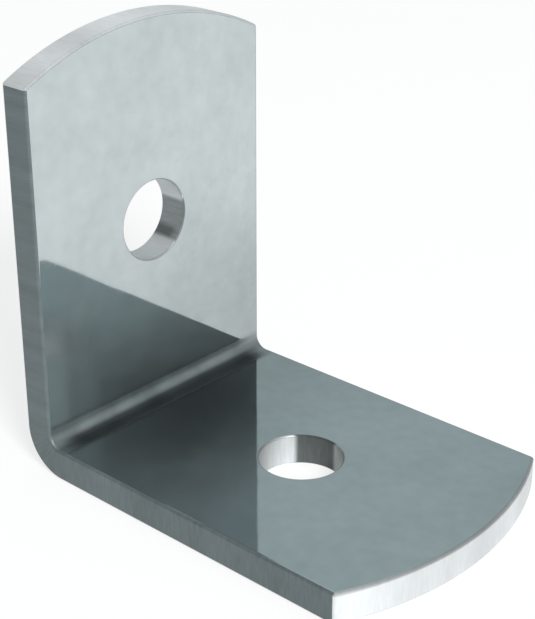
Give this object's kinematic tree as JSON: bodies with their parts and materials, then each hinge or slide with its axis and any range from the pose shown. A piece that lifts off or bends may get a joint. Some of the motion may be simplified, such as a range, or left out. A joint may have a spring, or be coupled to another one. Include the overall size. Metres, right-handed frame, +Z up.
{
  "type": "angle bracket",
  "caption": "Small right-angle bracket folded from polished stainless sheet, with crowned ends and a screw hole in each leg.",
  "frame": {"origin": "under the middle of the base leg, on the plane of its seat face and half way across the width", "axes": "+X along the base leg away from the upright, +Y across the width, +Z up the upright"},
  "size_m": [0.02, 0.014, 0.02],
  "materials": {
    "stainless": "polished, near mirror on the faces and satin on the cut edges"
  },
  "bodies": {
    "root": {"angle_bracket": "stainless"}
  },
  "joints": []
}
